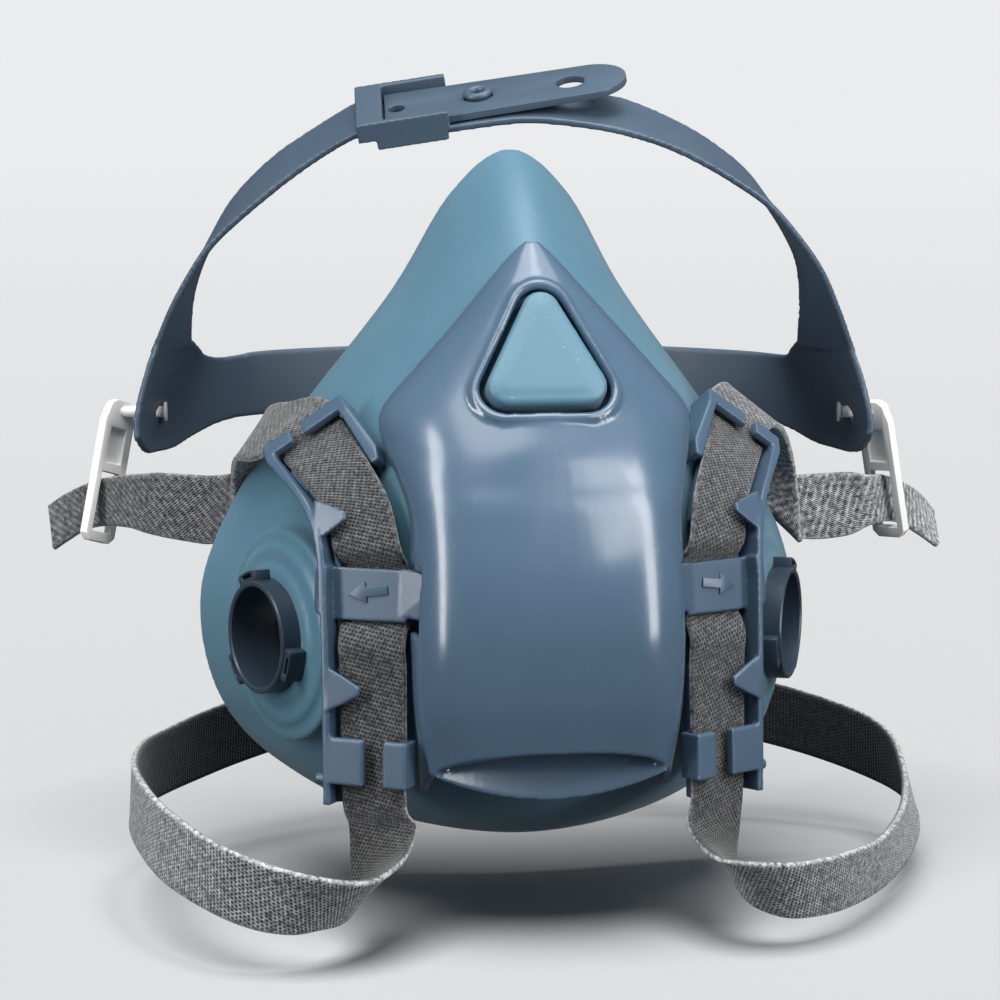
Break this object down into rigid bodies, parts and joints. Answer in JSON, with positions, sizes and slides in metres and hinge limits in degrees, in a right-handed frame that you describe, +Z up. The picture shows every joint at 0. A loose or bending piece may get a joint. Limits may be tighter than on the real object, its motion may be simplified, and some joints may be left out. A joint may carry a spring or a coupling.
{
  "type": "half-mask respirator",
  "caption": "Reusable silicone half-mask with bayonet ports, a valve cover, elastic straps on a front yoke, a plastic head cradle and a neck clasp.",
  "frame": {"origin": "centre of the face seal, where the wearer's face is", "axes": "+X to a viewer's right as they face the front, +Y towards the wearer, +Z up"},
  "size_m": [0.2121, 0.1705, 0.1791],
  "materials": {
    "silicone": "satin silicone, blue-teal",
    "collar": "satin dark slate",
    "valve_plastic": "fine matt",
    "flap": "smooth thin silicone",
    "exhale_rubber": "smooth thin silicone",
    "yoke": "satin slate blue",
    "cover": "glossy slate blue",
    "strap": "woven elastic, grey melange",
    "buckle": "translucent off-white",
    "cradle": "satin slate blue, flexible",
    "clasp": "satin slate blue"
  },
  "bodies": {
    "mask": {"facepiece": "silicone", "port_collar_left": "collar", "port_collar_right": "collar", "inhale_seat_left": "valve_plastic", "inhale_seat_right": "valve_plastic", "exhale_seat": "valve_plastic", "seat_clamp_ring": "valve_plastic", "harness_yoke": "yoke", "strap_left": "strap", "strap_right": "strap", "neck_loop": "clasp"},
    "valve_cover": {"valve_cover": "cover"},
    "inhale_flap_left": {"inhale_flap_left": "flap"},
    "inhale_flap_right": {"inhale_flap_right": "flap"},
    "exhale_flap": {"exhale_flap": "exhale_rubber"},
    "buckle_left": {"buckle_left": "buckle", "strap_tail_left": "strap"},
    "buckle_right": {"buckle_right": "buckle", "strap_tail_right": "strap"},
    "cradle": {"cradle_band": "cradle", "crown_strap_left": "cradle", "crown_strap_right": "cradle", "crown_keeper": "cradle"},
    "crown_tongue": {"crown_tongue": "cradle"},
    "neck_hook": {"neck_hook": "clasp"}
  },
  "joints": [
    {"name": "cover_pull", "type": "slide", "parent": "mask", "child": "valve_cover", "axis": [0, -0.9659, 0.2588], "range_m": [0, 0.025]},
    {"name": "inhale_lift_left", "type": "slide", "parent": "mask", "child": "inhale_flap_left", "axis": [0.9135, 0.4067, 0], "range_m": [0, 0.0015], "stiffness_N_per_m": 3},
    {"name": "inhale_lift_right", "type": "slide", "parent": "mask", "child": "inhale_flap_right", "axis": [-0.9135, 0.4067, 0], "range_m": [0, 0.0015], "stiffness_N_per_m": 3},
    {"name": "exhale_lift", "type": "slide", "parent": "mask", "child": "exhale_flap", "axis": [0, -1, 0], "range_m": [0, 0.0015], "stiffness_N_per_m": 6},
    {"name": "buckle_turn_left", "type": "hinge", "parent": "mask", "child": "buckle_left", "pos_m": [-0.07741, 0.04219, 0.0143], "axis": [0.9885, -0.1513, 0], "range_deg": [-15, 15]},
    {"name": "buckle_turn_right", "type": "hinge", "parent": "mask", "child": "buckle_right", "pos_m": [0.08648, 0.01711, 0.0143], "axis": [0.9885, -0.1513, 0], "range_deg": [-15, 15]},
    {"name": "cradle_tilt", "type": "hinge", "parent": "mask", "child": "cradle", "pos_m": [0.08648, 0.01711, 0.0143], "axis": [0.9885, -0.1513, 0], "range_deg": [-30, 12]},
    {"name": "tongue_unsnap", "type": "hinge", "parent": "cradle", "child": "crown_tongue", "pos_m": [-0.02569, 0.00798, 0.08459], "axis": [-0.0915, -0.9386, -0.3326], "range_deg": [0, 18]},
    {"name": "neck_hook_turn", "type": "hinge", "parent": "mask", "child": "neck_hook", "pos_m": [-0.0166, 0.054, -0.054], "axis": [0, 0, 1], "range_deg": [0, 40]}
  ]
}
